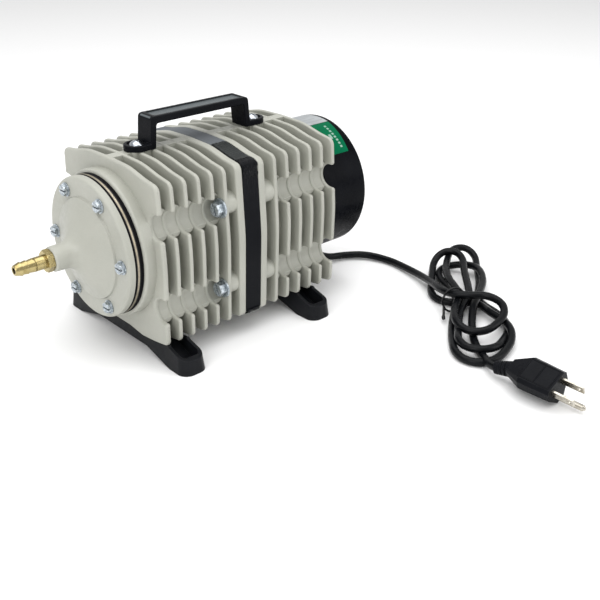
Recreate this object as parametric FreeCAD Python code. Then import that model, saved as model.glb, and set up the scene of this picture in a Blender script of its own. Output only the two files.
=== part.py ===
import FreeCAD, Part
import math
import os

# Oil-free linear-piston air pump: a finned die-cast body with its axis along X, outlet barb
# towards -X, motor cap towards +X, feet on the plane Z = 0. Millimetres.
# The origin is under the middle of the body's own length, at the level of the feet.
# "Stations" are distances along X from the front face of the first fin.

V = FreeCAD.Vector
X_AXIS = V(1, 0, 0)
os.makedirs("parts", exist_ok=True)

# ---- driving dimensions -------------------------------------------------------------------
BARB_TIP = -81.0            # station of the outlet's tip
CAP_END = 218.7             # station of the motor cap's rear face
FRONT_X = -(BARB_TIP + CAP_END) / 2.0
AXIS_Z = 85.0               # height of the pump's axis

# outline of a fin: corners of its right half in Y and Z, each with its rounding radius
HALF_OUTLINE = [(0.0, 151.1, 150.0), (27.0, 150.3, 60.0), (46.5, 145.8, 20.0), (61.8, 143.5, 6.0),
                (65.6, 86.0, 150.0), (63.4, 19.2, 4.5), (45.0, 16.3, 25.0), (30.0, 14.8, 25.0),
                (13.0, 17.0, 25.0)]

FRONT_PITCH = 11.75
FRONT_FINS = 6              # the first is the thick front plate, the last carries the bolts
FIN = 3.3
PLATE = 4.2
FIN_EDGE = 1.25             # rounding of a fin's rim
FLANGE_FRONT = (70.2, 76.7)
FLANGE_REAR = (91.8, 98.3)
REAR_FIRST = 107.3
REAR_PITCH = 12.4
REAR_FINS = 6
REAR_END = REAR_FIRST + REAR_PITCH * (REAR_FINS - 1) + FIN

CORE_R = 47.5
CAVITY_R = 44.0
WEB_BORE_R = 42.0           # bore of the rear casing behind its web
SPINE_HALF = 4.5

# bolt line and the round notches that give access to it
BOLT_Y = 58.0
BOLT_ZS = (112.8, 47.2)
BOLT_R = 3.0
BOLT_HOLE_R = 3.2
BOLT_END = 109.6
BOSS_R = 8.6
BOSS_Y = 54.3
BOSS_LIFT = 1.5            # the bosses' middle lies this much above their bolts
WEB_REACH = 55.0
WEB_SPAN = (-12.8, 11.6)     # lower and upper end of a web, measured from its bolt line
WEB_SINK = 1.1              # depth of a web's hollow below the rims of the notches
NOTCH_R = 9.6
NOTCH_Y = 59.8

# stack of round plates on the front
BOSS_STATION = -9.0
HEAD_GASKET = (-11.6, -9.0)
VALVE_PLATE = (-14.5, -11.6)
COVER_GASKET = (-15.9, -14.5)
COVER_BACK = -15.9
COVER_FACE = -21.6
STACK_R = 54.2
SCREW_PCD_R = 46.1
SHANK_R = 5.2               # outlet's plain shank and the crests of its ridges
SCREW_R = 2.5

# cylinder and moving parts
BORE_R = 24.0
LINER_R = 28.0
PISTON = (-1.0, 24.0)
ROD_R = 4.0
ARMATURE = (69.0, 87.5)
SPRING = (89.8, 118.0)
PORT_Y = 5.0
PORT_OFFSET = 14.0
REED_HINGE = 8.0
REED_TIP = 20.0
COIL = (67.5, 101.0)
BOBBIN_Z = (15.2, 33.0)

# motor cap
CAP_R = 57.2
CAP_WALL = 2.6
SPIGOT = 7.5                # length of the casing's ring inside the cap
FILTER_R = 40.2

# handle
HANDLE_SCREWS = (27.0, 138.2)
HANDLE_TOP = 175.2
HANDLE_BAR = 169.6          # underside of the grip
HANDLE_HALF = 9.2
DECK_Z = 151.1               # underside of the handle, just above the fins' crowns

# feet
FOOT_STATIONS = (11.6, 142.6)
FOOT_REACH = 83.6
FOOT_HALF = 11.5
FOOT_ARCH = 7.5             # height of the arch under the middle of each foot
SOLE_START = 64.0           # the soles lie flat outside this distance from the middle
FOOT_HOLE_Y = 70.0
FOOT_HOLE_R = 3.0
FOOT_SCREW_Y = 27.0
FOOT_SEAT = 11.2            # height of the seat for each foot screw's head

# mains cord
CORD_R = 3.25
RELIEF = (REAR_END, 196.0)
RELIEF_Y = -5.0
RELIEF_Z = 17.0
RELIEF_STEM_R = 5.0
CORD_BOSS_R = 7.6
CORD_BOSS_START = 157.0

# route of the cord from the relief's mouth to the hank: station, y, z of each corner
LEAD_ROUTE = [(196.0, -5.0, 17.0), (208.2, -5.0, 14.6), (224.2, -6.4, 5.5), (242.6, -10.6, 4.1),
              (258.7, -24.3, 4.6), (266.3, -47.1, 3.5), (264.6, -63.7, 4.2), (258.5, -91.5, 6.0),
              (247.0, -114.0, 10.5), (235.0, -135.5, 14.8)]

# route from the hank to the plug's relief
TAIL_ROUTE = [(187.0, -205.0, 4.0), (181.5, -218.0, 4.2), (175.6, -228.0, 6.6), (173.2, -236.0, 8.6)]

# plan of the tied hank, narrow where the tie goes round
HANK_OUTLINE = [(308.0, -79.0), (326.0, -87.0), (330.0, -102.0), (322.0, -113.0), (303.0, -129.0),
                (286.0, -146.0), (266.0, -160.0), (258.0, -184.0), (243.0, -203.0), (225.0, -221.0),
                (201.0, -232.0), (177.0, -226.0), (168.0, -207.0), (182.0, -183.0), (204.0, -164.0),
                (222.0, -150.0), (229.0, -133.0), (256.0, -99.0), (278.0, -83.0)]
HANK_HEIGHT = 21.0

# plug: its axis runs along -Y, rolled about that axis, blades ahead of the face
PLUG_X = 173.5
PLUG_Z = 15.4
PLUG_ROLL = 26.0
PLUG_NECK_Y = -248.0
PLUG_SHOULDER_Y = -262.0
PLUG_FACE_Y = -287.5
BLADE_SPACING = 12.7
PIN_OFFSET = 11.9
BLADE_LENGTH = 16.8
PIN_LENGTH = 20.4


# ---- helpers ------------------------------------------------------------------------------
def at(station):
    return FRONT_X + station


def rod(radius, start, end, y=0.0, z=AXIS_Z):
    return Part.makeCylinder(radius, end - start, V(at(start), y, z), X_AXIS)


def tube(outer, inner, start, end, y=0.0, z=AXIS_Z):
    return rod(outer, start, end, y, z).cut(rod(inner, start, end, y, z))


def upright(radius, station, y, low, high):
    return Part.makeCylinder(radius, high - low, V(at(station), y, low), V(0, 0, 1))


def block(start, end, y_low, y_high, z_low, z_high):
    size = (end - start, y_high - y_low, z_high - z_low)
    return Part.makeBox(size[0], size[1], size[2], V(at(start), y_low, z_low))


def polygon_prism(points, direction):
    return Part.Face(Part.makePolygon(points + [points[0]])).extrude(direction)


def hexagon(across_flats, start, end, y=0.0, z=AXIS_Z, turn=0.0):
    corner = across_flats / math.sqrt(3.0)
    angles = [math.radians(turn + 60.0 * i) for i in range(6)]
    points = [V(at(start), y + corner * math.cos(a), z + corner * math.sin(a)) for a in angles]
    return polygon_prism(points, V(end - start, 0, 0))


def revolved(profile):
    """Turn a closed outline of (station, radius) points about the pump's axis."""
    points = [V(at(s), 0, AXIS_Z + r) for s, r in profile]
    face = Part.Face(Part.makePolygon(points + [points[0]]))
    return face.revolve(V(at(0), 0, AXIS_Z), X_AXIS, 360)


def edges_where(shape, test):
    return [edge for edge in shape.Edges if test(edge)]


def near(value, target, slack=0.01):
    return abs(value - target) < slack


def on_rim(edge, stations):
    """True for an edge that lies in one of the planes at the given stations."""
    box = edge.BoundBox
    flat = box.XLength < 0.01
    return flat and any(near(box.XMin, at(s)) for s in stations)


def group(shapes):
    return Part.makeCompound(shapes)


def save(name, shape):
    shape.exportStep("parts/" + name + ".step")


def bolt_places():
    return [(side * BOLT_Y, z) for side in (1, -1) for z in BOLT_ZS]


def cover_screw_places():
    angles = [math.radians(60.0 * i) for i in range(6)]
    return [(SCREW_PCD_R * math.cos(a), AXIS_Z + SCREW_PCD_R * math.sin(a)) for a in angles]


# ---- casing outline and fins --------------------------------------------------------------
def rounded_wire(corners):
    """Closed wire of straight lines and tangent arcs through (point, radius) corners."""
    edges = []
    pieces = []
    count = len(corners)
    for i in range(count):
        before = corners[i - 1][0]
        corner, radius = corners[i]
        after = corners[(i + 1) % count][0]
        into = corner.sub(before).normalize()
        out = after.sub(corner).normalize()
        half_turn = into.getAngle(out) / 2.0
        cut_back = radius * math.tan(half_turn)
        first = corner.sub(V(into).multiply(cut_back))
        second = corner.add(V(out).multiply(cut_back))
        bisector = out.sub(into).normalize()
        rise = radius / math.cos(half_turn) - radius
        pieces.append((first, corner.add(bisector.multiply(rise)), second))
    for i in range(count):
        first, middle, second = pieces[i]
        edges.append(Part.LineSegment(pieces[i - 1][2], first).toShape())
        edges.append(Part.Arc(first, middle, second).toShape())
    return Part.Wire(edges)


def outline_wire(station, margin=0.0):
    """Closed outline of the casing in the plane at a station, grown outwards by margin."""
    right = []
    for y, z, radius in HALF_OUTLINE:
        grown_y = y + (margin if y > 60.0 else 0.0)
        grown_z = z + (margin if z > AXIS_Z + 20 else -margin if z < AXIS_Z - 20 else 0.0)
        right.append((V(at(station), grown_y, grown_z), radius))
    left = [(V(p.x, -p.y, p.z), radius) for p, radius in reversed(right[1:])]
    return rounded_wire(right + left)


def outline_prism(start, end, margin=0.0):
    return Part.Face(outline_wire(start, margin)).extrude(V(end - start, 0, 0))


def notch_cutters(start, end):
    """Round-bottomed slots that open sideways at each bolt line."""
    cutters = []
    for side in (1, -1):
        y_low, y_high = sorted((side * NOTCH_Y, side * 75.0))
        for z in BOLT_ZS:
            mouth = block(start, end, y_low, y_high, z - NOTCH_R, z + NOTCH_R)
            cutters.append(mouth.fuse(rod(NOTCH_R, start, end, side * NOTCH_Y, z)).removeSplitter())
    return cutters


def fin(start, thickness, notched, rim=FIN_EDGE):
    plate = outline_prism(start, start + thickness)
    if notched:
        plate = plate.cut(notch_cutters(start - 1, start + thickness + 1))
        corners = edges_where(plate, lambda e: e.BoundBox.XLength > thickness * 0.9
                              and abs(e.BoundBox.YMin) > 62.0
                              and any(near(e.BoundBox.ZMin, z + side * NOTCH_R)
                                      for z in BOLT_ZS for side in (1, -1)))
        plate = plate.makeFillet(2.0, corners)
    rims = edges_where(plate, lambda e: on_rim(e, (start, start + thickness)))
    return plate.makeFillet(rim, rims)


def bosses(start, end):
    """Round bosses for the bolts between a flange and the fin beside it."""
    shapes = []
    for side in (1, -1):
        y_low, y_high = sorted((side * 30.0, side * BOSS_Y))
        for z in BOLT_ZS:
            middle = z + BOSS_LIFT
            stem = block(start, end, y_low, y_high, middle - BOSS_R, middle + BOSS_R)
            shapes.append(stem.fuse(rod(BOSS_R, start, end, side * BOSS_Y, middle)))
    return shapes


def notch_web(start, end):
    """Webs that close the gap between two notched fins behind each bolt line. Each is hollowed
    a little deeper than the notches, so that the fins' rims stand proud of it."""
    webs = []
    scoop_r = NOTCH_R + WEB_SINK
    for side in (1, -1):
        y_low, y_high = sorted((side * 30.0, side * WEB_REACH))
        for z in BOLT_ZS:
            web = block(start, end, y_low, y_high, z + WEB_SPAN[0], z + WEB_SPAN[1])
            long_edges = edges_where(web, lambda e: e.BoundBox.YLength > 10)
            web = web.makeFillet(3.8, long_edges)
            webs.append(web.cut(rod(scoop_r, start - 1, end + 1, side * NOTCH_Y, z)))
    return webs


def spine(start, end):
    return block(start, end, -SPINE_HALF, SPINE_HALF, AXIS_Z + 40, DECK_Z - 0.5)


def handle_pad(station):
    """Thickened land on the top of the casing under one end of the handle."""
    return block(station - 8, station + 8, -7.5, 7.5, AXIS_Z + 44, DECK_Z)


def foot_posts(station):
    return [upright(6.0, station, side * FOOT_SCREW_Y, 15.8, 50.0) for side in (1, -1)]


def foot_screw_holes(station):
    return [upright(2.5, station, side * FOOT_SCREW_Y, 10.0, 34.0) for side in (1, -1)]


def bolt_holes(start, end, radius):
    return [rod(radius, start, end, y, z) for y, z in bolt_places()]


def front_fin_start(index):
    return FRONT_PITCH * index


def rear_fin_start(index):
    return REAR_FIRST + REAR_PITCH * index


def front_casing():
    last = FRONT_FINS - 1
    body = rod(CORE_R, 0, FLANGE_FRONT[1])
    pieces = [fin(0, PLATE, True, 1.7)]
    for i in range(1, FRONT_FINS):
        pieces.append(fin(front_fin_start(i), FIN, i < last))
    pieces.append(fin(FLANGE_FRONT[0], FLANGE_FRONT[1] - FLANGE_FRONT[0], False, 1.6))
    for i in range(last):
        pieces += notch_web(front_fin_start(i) + FIN - 0.2, front_fin_start(i + 1) + 0.2)
    pieces += bosses(front_fin_start(last) + 1, FLANGE_FRONT[0] + 1)
    pieces.append(spine(1.7, FLANGE_FRONT[1] - 1.7))
    pieces.append(handle_pad(HANDLE_SCREWS[0]))
    pieces += foot_posts(FOOT_STATIONS[0])
    body = body.fuse(pieces)

    boss = rod(57.0, BOSS_STATION, 1.0)
    boss = boss.makeFillet(2.2, edges_where(boss, lambda e: on_rim(e, (BOSS_STATION,))))
    body = body.fuse(boss)

    cuts = [rod(LINER_R, BOSS_STATION - 1, 44)]
    cuts.append(rod(20.0, 40, 60))
    cuts.append(rod(CAVITY_R, 50, FLANGE_FRONT[1] + 1))
    cuts += [rod(SCREW_R, BOSS_STATION - 1, 8.4, y, z) for y, z in cover_screw_places()]
    cuts += bolt_holes(50, FLANGE_FRONT[1] + 1, BOLT_HOLE_R)
    cuts += foot_screw_holes(FOOT_STATIONS[0])
    cuts.append(upright(2.0, HANDLE_SCREWS[0], 0, DECK_Z - 14, DECK_Z + 1))
    return body.cut(cuts).removeSplitter()


def rear_casing():
    body = rod(CORE_R, FLANGE_REAR[0], REAR_END)
    pieces = [fin(FLANGE_REAR[0], FLANGE_REAR[1] - FLANGE_REAR[0], False, 1.6)]
    for i in range(REAR_FINS):
        pieces.append(fin(rear_fin_start(i), FIN, i > 0))
    pieces += bosses(FLANGE_REAR[1] - 1, REAR_FIRST + 1)
    for i in range(REAR_FINS - 1):
        pieces += notch_web(rear_fin_start(i) + FIN - 0.2, rear_fin_start(i + 1) + 0.2)
    pieces.append(spine(FLANGE_REAR[0] + 1.7, REAR_END - 1.3))
    pieces.append(handle_pad(HANDLE_SCREWS[1]))
    pieces += foot_posts(FOOT_STATIONS[1])
    pieces.append(rod(CAP_R - CAP_WALL - 0.3, REAR_END - 1, REAR_END + SPIGOT))
    pieces.append(rod(CORD_BOSS_R, CORD_BOSS_START, REAR_END, RELIEF_Y, RELIEF_Z))
    pieces.append(block(CORD_BOSS_START, REAR_END - 1.5, RELIEF_Y - CORD_BOSS_R,
                        RELIEF_Y + CORD_BOSS_R, RELIEF_Z, 45))
    body = body.fuse(pieces)

    cuts = [rod(CAVITY_R, FLANGE_REAR[0] - 1, 124)]
    cuts.append(rod(WEB_BORE_R, 130, REAR_END + 10))
    cuts += [rod(6.0, 120, 134, 30 * math.cos(a), AXIS_Z + 30 * math.sin(a))
             for a in [math.radians(30 + 60 * i) for i in range(6)]]
    cuts += bolt_holes(FLANGE_REAR[0] - 1, 99, BOLT_HOLE_R)
    cuts += bolt_holes(99, BOLT_END, BOLT_R)
    cuts += foot_screw_holes(FOOT_STATIONS[1])
    cuts.append(upright(2.0, HANDLE_SCREWS[1], 0, DECK_Z - 14, DECK_Z + 1))
    cuts += [rod(2.0, REAR_END - 6, REAR_END + 10, y, z) for y, z in cap_screw_places()]
    cuts.append(rod(RELIEF_STEM_R, CORD_BOSS_START + 1, REAR_END + 1, RELIEF_Y, RELIEF_Z))
    cuts.append(upright(RELIEF_STEM_R - 1.5, CORD_BOSS_START + 4.5, RELIEF_Y, RELIEF_Z, 50))
    body = body.cut(cuts)
    hub = rod(13.0, 118, 136).cut(rod(8.0, 117, 137))
    return body.fuse(hub).cut(rod(8.0, 117, 137)).removeSplitter()


# ---- outlet head --------------------------------------------------------------------------
def outlet_barb():
    outer = [(-54.0, SHANK_R), (-65.5, SHANK_R), (-65.5, 4.5), (-66.5, 4.5), (-66.5, SHANK_R)]
    outer += [(-71.5, 4.5), (-71.5, SHANK_R), (-76.0, 4.5), (-76.0, SHANK_R)]
    outer += [(BARB_TIP + 0.6, 3.9), (BARB_TIP, 3.5)]
    inner = [(BARB_TIP, 2.4), (-44.0, 2.4), (-44.0, 6.0), (-54.0, 6.0)]
    stem = revolved(outer + inner)
    hexa = hexagon(15.0, -57.5, -52.5, turn=12)
    dish = revolved([(-60, 0), (-60, 5.6), (-56.2, 8.9), (-53.6, 8.9), (-50.0, 5.6), (-50, 0)])
    hexa = hexa.common(dish).cut(rod(2.4, -60, -50))
    return stem.fuse(hexa).removeSplitter()


def dome_profile():
    """Outer line of the outlet cover from its flat face to the neck's mouth."""
    lip = [(COVER_FACE, STACK_R - 2.2), (COVER_FACE, 39.4), (COVER_FACE - 1.7, 38.6)]
    cone = [(-25.2, 33.5), (-28.8, 25.5), (-32.4, 18.0), (-35.6, 13.2), (-39.0, 10.7)]
    neck = [(-43.0, 9.7), (-51.4, 9.5), (-52.5, 8.6)]
    return lip, cone, neck


def cylinder_head_cover():
    lip, cone, neck = dome_profile()
    axis_point = V(at(0), 0, AXIS_Z)

    def spot(pair):
        return V(at(pair[0]), 0, AXIS_Z + pair[1])

    sweep = Part.BSplineCurve()
    sweep.interpolate([spot(p) for p in [lip[2]] + cone + neck[:1]])
    rim = [(COVER_BACK, 33.0), (COVER_BACK, STACK_R), (-19.4, STACK_R)]
    edges = []
    for first, second in zip(rim, rim[1:]):
        edges.append(Part.LineSegment(spot(first), spot(second)).toShape())
    edges.append(Part.Arc(spot(rim[-1]), spot((-20.95, STACK_R - 0.65)), spot(lip[0])).toShape())
    edges.append(Part.LineSegment(spot(lip[0]), spot(lip[1])).toShape())
    edges.append(Part.LineSegment(spot(lip[1]), spot(lip[2])).toShape())
    edges.append(sweep.toShape())
    inside = [(-52.5, 6.0), (-44.0, 6.0), (-44.0, 4.5), (-34.0, 4.5), (-29.0, 10.0)]
    inside += [(-20.0, 31.0), (COVER_BACK, 33.0)]
    rest = neck + inside
    for first, second in zip(rest, rest[1:]):
        edges.append(Part.LineSegment(spot(first), spot(second)).toShape())
    body = Part.Face(Part.Wire(edges)).revolve(axis_point, X_AXIS, 360)
    holes = [rod(2.7, -30, 0, y, z) for y, z in cover_screw_places()]
    return body.cut(holes)


def cover_screws():
    screws = []
    for y, z in cover_screw_places():
        shank = rod(SCREW_R, COVER_FACE, 8.0, y, z)
        head = hexagon(8.0, COVER_FACE - 4.0, COVER_FACE, y, z, turn=20)
        crown = Part.makeCone(3.9, 4.9, 1.6, V(at(COVER_FACE - 4.0), y, z), X_AXIS)
        skirt = rod(4.9, COVER_FACE - 2.4, COVER_FACE, y, z)
        head = head.common(crown.fuse(skirt))
        flange = rod(5.3, COVER_FACE - 0.9, COVER_FACE, y, z)
        slot = block(COVER_FACE - 5, COVER_FACE - 2.6, y - 5, y + 5, z - 0.6, z + 0.6)
        screws.append(shank.fuse([head, flange]).cut(slot).removeSplitter())
    return group(screws)


def ring_plate(outer, inner, span, hole_r=2.7):
    plate = tube(outer, inner, span[0], span[1])
    return plate.cut([rod(hole_r, span[0] - 1, span[1] + 1, y, z) for y, z in cover_screw_places()])


def ports(start, end, direction):
    z = AXIS_Z + direction * PORT_OFFSET
    return [rod(3.0, start, end, y, z) for y in (PORT_Y, -PORT_Y)]


def valve_plate():
    disc = rod(STACK_R, VALVE_PLATE[0], VALVE_PLATE[1])
    cuts = [rod(2.7, VALVE_PLATE[0] - 1, VALVE_PLATE[1] + 1, y, z) for y, z in cover_screw_places()]
    cuts += ports(VALVE_PLATE[0] - 1, VALVE_PLATE[1] + 1, -1)
    cuts.append(rod(1.5, VALVE_PLATE[0] - 1, VALVE_PLATE[1] + 1, 0, AXIS_Z - 4.5))
    return disc.cut(cuts)


def reed(station, direction):
    """Spring-steel tongue, straight at its hinge and round at its free end."""
    hinge = AXIS_Z + direction * (REED_HINGE + 0.2)
    tip = AXIS_Z + direction * (REED_TIP - 8.0)
    low, high = sorted((hinge, tip))
    strip = block(station, station + 0.3, -9.0, 9.0, low, high)
    return strip.fuse(rod(9.0, station, station + 0.3, 0, tip).common(
        block(station, station + 0.3, -9, 9, AXIS_Z - 30, AXIS_Z + 30).cut(
            block(station - 1, station + 1, -20, 20, AXIS_Z - REED_HINGE - 0.2,
                  AXIS_Z + REED_HINGE + 0.2)))).removeSplitter()


def outlet_reed_stop():
    """Backing plate that limits the outlet reed, with its rivet through the valve plate."""
    face = VALVE_PLATE[0]
    foot = block(face - 1.2, face, -9.0, 9.0, AXIS_Z - REED_HINGE, AXIS_Z - 1.0)
    arm = block(face - 3.9, face - 2.9, -5.0, 5.0, AXIS_Z - REED_TIP, AXIS_Z - REED_HINGE)
    step = block(face - 3.9, face, -5.0, 5.0, AXIS_Z - REED_HINGE, AXIS_Z - REED_HINGE + 1.4)
    rivet = rod(1.5, face, VALVE_PLATE[1], 0, AXIS_Z - 4.5)
    head = rod(2.8, face - 2.2, face - 1.2, 0, AXIS_Z - 4.5)
    return foot.fuse([arm, step, rivet, head]).removeSplitter()


def inlet_reed_clamp():
    plate = block(-1.8, -1.0, -9.0, 9.0, AXIS_Z + 4.4, AXIS_Z + REED_HINGE)
    pins = [rod(1.2, -2.2, 3.0, y, AXIS_Z + 6.2) for y in (6.0, -6.0)]
    return plate.fuse(pins).removeSplitter()


# ---- cylinder, piston and drive -----------------------------------------------------------
def piston_head():
    body = rod(BORE_R - 0.08, PISTON[0], PISTON[1])
    cuts = [rod(20.5, 6.0, PISTON[1] + 1)]
    cuts.append(tube(BORE_R + 1, BORE_R - 2.0, 2.0, 4.4))
    cuts.append(rod(ROD_R, PISTON[0] - 1, 10))
    cuts += ports(PISTON[0] - 1, 10, 1)
    cuts += [rod(1.2, PISTON[0] - 1, 3.0, y, AXIS_Z + 6.2) for y in (6.0, -6.0)]
    return body.cut(cuts)


def piston_ring():
    ring = tube(BORE_R - 0.03, BORE_R - 1.9, 2.1, 4.3)
    gap = block(2.0, 4.5, BORE_R - 4, BORE_R + 1, AXIS_Z - 0.4, AXIS_Z + 0.4)
    return ring.cut(gap)


def piston_nut():
    return hexagon(13.0, 6.0, 11.0).cut(rod(ROD_R, 5, 12))


def armature():
    core = block(ARMATURE[0], ARMATURE[1], -13, 13, AXIS_Z - 13, AXIS_Z + 13)
    return core.cut(rod(ROD_R, ARMATURE[0] - 1, ARMATURE[1] + 1))


def spring_seat():
    seat = tube(12.5, ROD_R, ARMATURE[1], ARMATURE[1] + 2.0)
    return seat.fuse(tube(7.2, ROD_R, ARMATURE[1] + 2.0, ARMATURE[1] + 5.0)).removeSplitter()


def return_spring():
    wire_r = 1.1
    turns = 5.5
    start = SPRING[0] + wire_r + 0.05
    length = SPRING[1] - SPRING[0] - 2 * (wire_r + 0.05)
    helix = Part.makeHelix(length / turns, length, 9.4)
    section = Part.Wire(Part.Circle(V(9.4, 0, 0), V(0, 1, 0), wire_r).toShape())
    coil = Part.Wire(helix.Edges).makePipeShell([section], True, True)
    coil.rotate(V(0, 0, 0), V(0, 1, 0), 90)
    coil.translate(V(at(start), 0, AXIS_Z))
    return coil


def field_core():
    """Laminated stack clamped between the two castings, with two poles facing the armature."""
    stack = outline_prism(FLANGE_FRONT[1], FLANGE_REAR[0], -2.4)
    window = block(70, 100, -38, 38, AXIS_Z - 43, AXIS_Z + 43)
    pole = block(FLANGE_FRONT[1], FLANGE_REAR[0], -11, 11, AXIS_Z - 45, AXIS_Z + 45)
    pole = pole.cut(block(70, 100, -20, 20, AXIS_Z - 14, AXIS_Z + 14))
    stack = stack.cut(window).fuse(pole)
    return stack.cut(bolt_holes(70, 100, BOLT_HOLE_R)).removeSplitter()


def coil_shape(half_y, start, end, low, high, side):
    z_low, z_high = sorted((AXIS_Z + side * low, AXIS_Z + side * high))
    return block(start, end, -half_y, half_y, z_low, z_high)


def coil_bobbins():
    bobbins = []
    for side in (1, -1):
        low, high = BOBBIN_Z
        body = coil_shape(13.0, 74.9, 93.6, low, high, side)
        flanges = [coil_shape(24.0, COIL[0], COIL[1], low, low + 1.6, side)]
        flanges.append(coil_shape(24.0, COIL[0], COIL[1], high - 1.6, high, side))
        hole = coil_shape(11.2, FLANGE_FRONT[1] - 0.2, FLANGE_REAR[0] + 0.2, low - 1, high + 1, side)
        bobbins.append(body.fuse(flanges).cut(hole).removeSplitter())
    return group(bobbins)


def field_coils():
    coils = []
    for side in (1, -1):
        low, high = BOBBIN_Z[0] + 1.6, BOBBIN_Z[1] - 1.6
        winding = coil_shape(22.6, COIL[0] + 1.4, COIL[1] - 1.4, low, high, side)
        winding = winding.makeFillet(5.0, edges_where(winding, lambda e: e.BoundBox.ZLength > 10))
        coils.append(winding.cut(coil_shape(13.0, 74.9, 93.6, low - 1, high + 1, side)))
    return group(coils)


def terminal_block():
    base = block(140, 158, -14, 14, AXIS_Z - WEB_BORE_R, AXIS_Z - 28).common(
        rod(WEB_BORE_R, 139, 159))
    slots = [block(139, 159, y - 0.8, y + 0.8, AXIS_Z - 31, AXIS_Z - 27) for y in (-7, 0, 7)]
    return base.cut(slots)


def coil_leads():
    """Two straight leads from the lower coil, through a vent of the web, to the terminals."""
    leads = []
    for y in (3.0, -3.0):
        leads.append(rod(1.0, COIL[1] - 1.4, 140, y, AXIS_Z - 30))
    return group(leads)


# ---- fasteners, band, handle and feet ------------------------------------------------------
def casing_bolts():
    bolts = []
    head_end = front_fin_start(FRONT_FINS - 1) - 1.4
    for y, z in bolt_places():
        shank = rod(BOLT_R, head_end, BOLT_END, y, z)
        head = hexagon(10.0, head_end - 5.0, head_end, y, z, turn=8)
        crown = Part.makeCone(4.9, 6.0, 1.7, V(at(head_end - 5.0), y, z), X_AXIS)
        head = head.common(crown.fuse(rod(6.0, head_end - 3.3, head_end, y, z)))
        slot = block(head_end - 6, head_end - 3.2, y - 7, y + 7, z - 0.8, z + 0.8)
        slot.rotate(V(at(0), y, z), X_AXIS, 62)
        bolts.append(shank.fuse(head).cut(slot).removeSplitter())
    return group(bolts)


def casing_washers():
    end = front_fin_start(FRONT_FINS - 1)
    return group([tube(7.6, 3.2, end - 1.4, end, y, z) for y, z in bolt_places()])


def seal_band():
    outer = outline_prism(FLANGE_FRONT[1] + 0.1, FLANGE_REAR[0] - 0.1, -0.5)
    return outer.cut(outline_prism(FLANGE_FRONT[1] - 1, FLANGE_REAR[0] + 1, -2.4))


def carry_handle():
    first, last = HANDLE_SCREWS
    leg = first + 6.6
    other = last - 8.4
    thick = 4.8
    bar = HANDLE_BAR
    base = DECK_Z + 4.4

    def side_points(points):
        return [V(at(s), -HANDLE_HALF, z) for s, z in points]

    arch = [(leg, DECK_Z), (leg + 2.2, HANDLE_TOP), (other - 2.2, HANDLE_TOP), (other, DECK_Z)]
    arch += [(other - thick, DECK_Z), (other - thick - 1.8, bar), (leg + thick + 1.8, bar)]
    arch += [(leg + thick, DECK_Z)]
    body = polygon_prism(side_points(arch), V(0, 2 * HANDLE_HALF, 0))

    def bend(edge):
        box = edge.BoundBox
        return box.YLength > 10 and box.ZMin > bar - 1

    def outer_bend(edge):
        return bend(edge) and near(edge.BoundBox.ZMin, HANDLE_TOP)

    def inner_bend(edge):
        return bend(edge) and near(edge.BoundBox.ZMin, bar)

    body = body.makeFillet(3.2, edges_where(body, outer_bend))
    body = body.makeFillet(2.0, edges_where(body, inner_bend))
    faces_y = (-HANDLE_HALF, HANDLE_HALF)

    def long_edge(edge):
        box = edge.BoundBox
        flat = box.YLength < 0.01 and any(near(box.YMin, y) for y in faces_y)
        return flat and box.ZMax > DECK_Z + 1

    body = body.makeFillet(0.9, edges_where(body, long_edge))
    tabs = []
    for station, toward in ((first, 1), (last, -1)):
        pad = upright(HANDLE_HALF + 0.6, station, 0, DECK_Z, base)
        near_end, far_end = sorted((station, station + toward * 9.0))
        pad = pad.fuse(block(near_end, far_end, -HANDLE_HALF, HANDLE_HALF, DECK_Z, base))
        pad = pad.removeSplitter()
        rim = edges_where(pad, lambda e: near(e.BoundBox.ZMin, base) and near(e.BoundBox.ZMax, base))
        pad = pad.makeFillet(0.9, rim)
        pad = pad.cut(upright(7.4, station, 0, base - 1.0, base + 1))
        tabs.append(pad)
    body = body.fuse(tabs).removeSplitter()
    recess = block(leg + 6.5, other - 6.5, -6.4, 6.4, HANDLE_TOP - 1.1, HANDLE_TOP + 1)
    recess = recess.makeFillet(2.0, edges_where(recess, lambda e: e.BoundBox.ZLength > 1))
    body = body.cut(recess)
    return body.cut([upright(2.3, s, 0, DECK_Z - 1, base + 1) for s in HANDLE_SCREWS])


def pan_screw(station, y, base, head_r, head_h, shank_r, depth):
    ball_r = (head_r ** 2 + head_h ** 2) / (2 * head_h)
    dome = Part.makeSphere(ball_r, V(at(station), y, base + head_h - ball_r))
    head = upright(head_r, station, y, base, base + head_h).common(dome)
    shank = upright(shank_r, station, y, base - depth, base)
    arms = [(3.0, 0.45), (0.45, 3.0)]
    top = base + head_h
    cross = [Part.makeBox(2 * a, 2 * b, 2, V(at(station) - a, y - b, top - 1.7)) for a, b in arms]
    return head.fuse(shank).cut(cross).removeSplitter()


def handle_screws():
    base = DECK_Z + 3.4
    return group([pan_screw(s, 0, base, 5.6, 3.4, 2.0, 15.0) for s in HANDLE_SCREWS])


def rounded_plan(station, z, half_x, half_y, corner):
    """Closed level outline with rounded corners, centred under a station."""
    x = at(station)
    signs = [(1, 1), (-1, 1), (-1, -1), (1, -1)]
    return rounded_wire([(V(x + sx * half_x, sy * half_y, z), corner) for sx, sy in signs])


def foot_block(station, inset, low, high):
    """Tapered bar: wide at its sole, drawn in towards its rim."""
    def plan(z):
        draft = inset + 1.6 * z / 20.0
        return rounded_plan(station, z, FOOT_HALF - draft, FOOT_REACH - draft * 1.4, 8.5 - inset)
    return Part.makeLoft([plan(low), plan(high)], True, True)


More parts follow.
